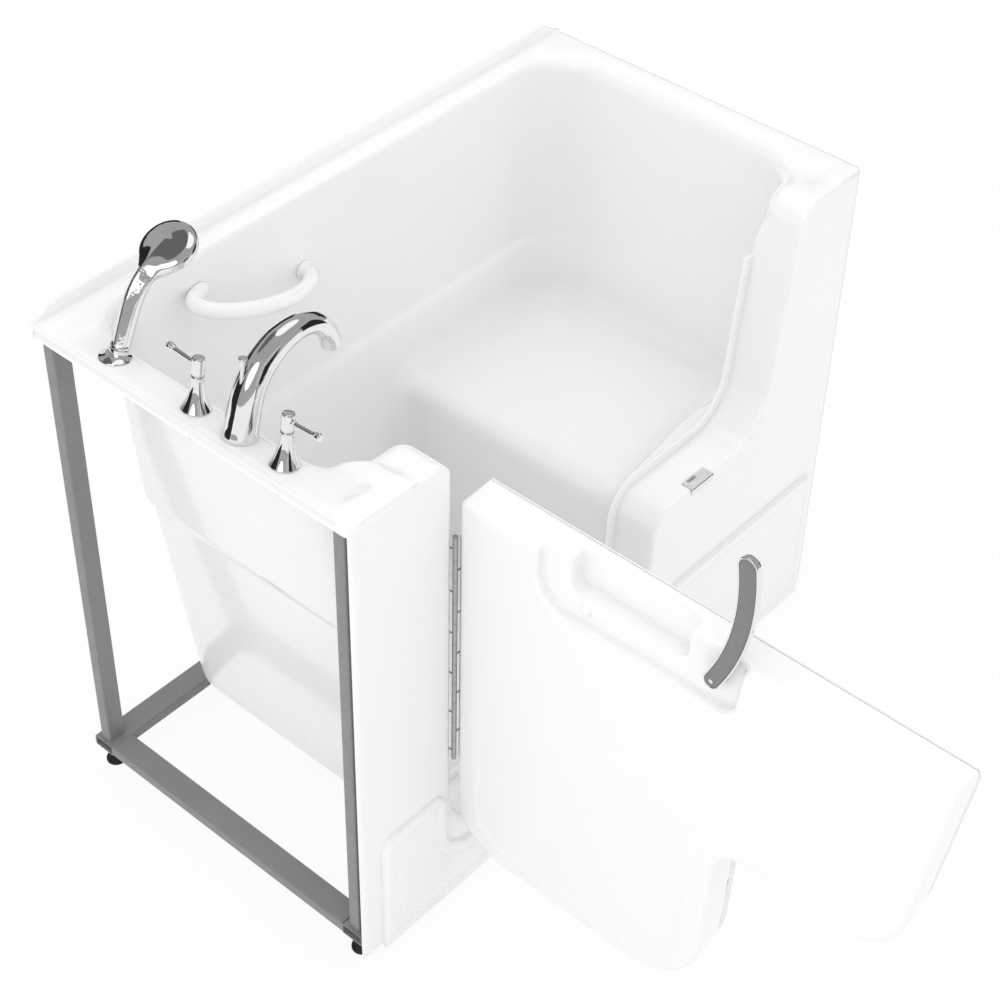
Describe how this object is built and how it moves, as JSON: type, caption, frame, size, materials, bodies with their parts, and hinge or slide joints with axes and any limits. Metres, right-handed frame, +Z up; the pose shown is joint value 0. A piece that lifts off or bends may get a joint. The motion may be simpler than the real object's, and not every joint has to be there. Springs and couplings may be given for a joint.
{
  "type": "walk-in bathtub",
  "caption": "Walk-in bathtub with a notched outward swinging door, moulded seat, deck faucet with hand shower, grab bar and open steel frame on levelling feet.",
  "frame": {"origin": "on the floor under the levelling foot at the middle of the tub", "axes": "+X from the faucet end to the seat end, +Y from the door side to the wall side, +Z up"},
  "size_m": [1.346, 1.6608, 1.2385],
  "materials": {
    "white_gelcoat": "high gloss white moulded skin",
    "chrome": "polished chrome plating",
    "stainless": "brushed stainless steel",
    "brass_fittings": "machined brass under the deck",
    "frame_paint": "mid grey powder coated steel tube",
    "black_rubber": "black moulded rubber",
    "seal_rubber": "light grey silicone",
    "lever_grey": "dark grey satin inlay with a soft gloss",
    "pipe_white": "white waste pipe"
  },
  "bodies": {
    "tub": {"tub_shell": "white_gelcoat", "grab_bar": "white_gelcoat", "grab_bar_nuts": "stainless", "latch_strike": "chrome", "strike_screws": "stainless", "hinge_leaf_tub": "stainless", "hinge_pin": "stainless", "hinge_screws_tub": "stainless", "shower_holder": "chrome", "shower_nut": "brass_fittings", "spout": "chrome", "spout_nut": "brass_fittings", "aerator": "stainless", "hot_bell": "chrome", "hot_valve": "brass_fittings", "cold_bell": "chrome", "cold_valve": "brass_fittings", "drain_flange": "chrome", "drain_gasket": "black_rubber", "drain_elbow": "pipe_white", "base_rail_front": "frame_paint", "base_rail_wall": "frame_paint", "base_rail_faucet": "frame_paint", "base_rail_seat": "frame_paint", "base_rail_centre": "frame_paint", "post_front_faucet": "frame_paint", "post_wall_faucet": "frame_paint", "post_front_seat": "frame_paint", "post_wall_seat": "frame_paint", "top_rail_wall": "frame_paint", "floor_bearers": "frame_paint", "seat_legs": "frame_paint", "seat_bearers": "frame_paint", "foot_pads": "black_rubber", "foot_studs": "stainless", "foot_nuts": "stainless"},
    "panel": {"access_panel": "white_gelcoat", "panel_clips": "stainless"},
    "door": {"door_panel": "white_gelcoat", "door_liner": "white_gelcoat", "door_seal": "seal_rubber", "hinge_leaf_door": "stainless", "hinge_screws_door": "stainless", "latch_bush": "stainless", "bolt_guides": "stainless"},
    "latch_lever": {"latch_handle": "chrome", "latch_grip": "lever_grey", "latch_screw": "chrome", "latch_shaft": "stainless"},
    "latch_slide": {"latch_bolt": "stainless"},
    "hot_tap": {"hot_handle": "chrome"},
    "cold_tap": {"cold_handle": "chrome"},
    "diverter": {"diverter_knob": "chrome"},
    "hand_shower": {"shower_handle": "chrome", "shower_face": "stainless"},
    "stopper": {"drain_stopper": "chrome"}
  },
  "joints": [
    {"name": "door_hinge", "type": "hinge", "parent": "tub", "child": "door", "pos_m": [-0.44, -0.372, 0.6355], "axis": [0, 0, 1], "range_deg": [-15, 90]},
    {"name": "lever_turn", "type": "hinge", "parent": "door", "child": "latch_lever", "pos_m": [-0.4185, -0.8798, 0.928], "axis": [-1, 0, 0], "range_deg": [0, 107]},
    {"name": "bolt_drop", "type": "slide", "parent": "door", "child": "latch_slide", "axis": [0, 0, -1], "range_m": [0, 0.01447]},
    {"name": "hot_turn", "type": "hinge", "parent": "tub", "child": "hot_tap", "pos_m": [-0.62544, -0.1845, 1.05937], "axis": [0.1564, 0, 0.9877], "range_deg": [0, 90]},
    {"name": "cold_turn", "type": "hinge", "parent": "tub", "child": "cold_tap", "pos_m": [-0.62544, 0.0155, 1.05937], "axis": [0.1564, 0, 0.9877], "range_deg": [-90, 0]},
    {"name": "diverter_lift", "type": "slide", "parent": "tub", "child": "diverter", "axis": [0.1564, 0, 0.9877], "range_m": [0, 0.015]},
    {"name": "shower_lift", "type": "slide", "parent": "tub", "child": "hand_shower", "axis": [0.3907, 0, 0.9205], "range_m": [0, 0.12]},
    {"name": "stopper_lift", "type": "slide", "parent": "tub", "child": "stopper", "axis": [0, 0, 1], "range_m": [0, 0.01]},
    {"name": "panel_pull", "type": "slide", "parent": "tub", "child": "panel", "axis": [0, -1, 0], "range_m": [0, 0.05]}
  ],
  "couplings": [
    {"joint": "bolt_drop", "follows": "lever_turn", "m_per_rad": 0.0077478}
  ]
}
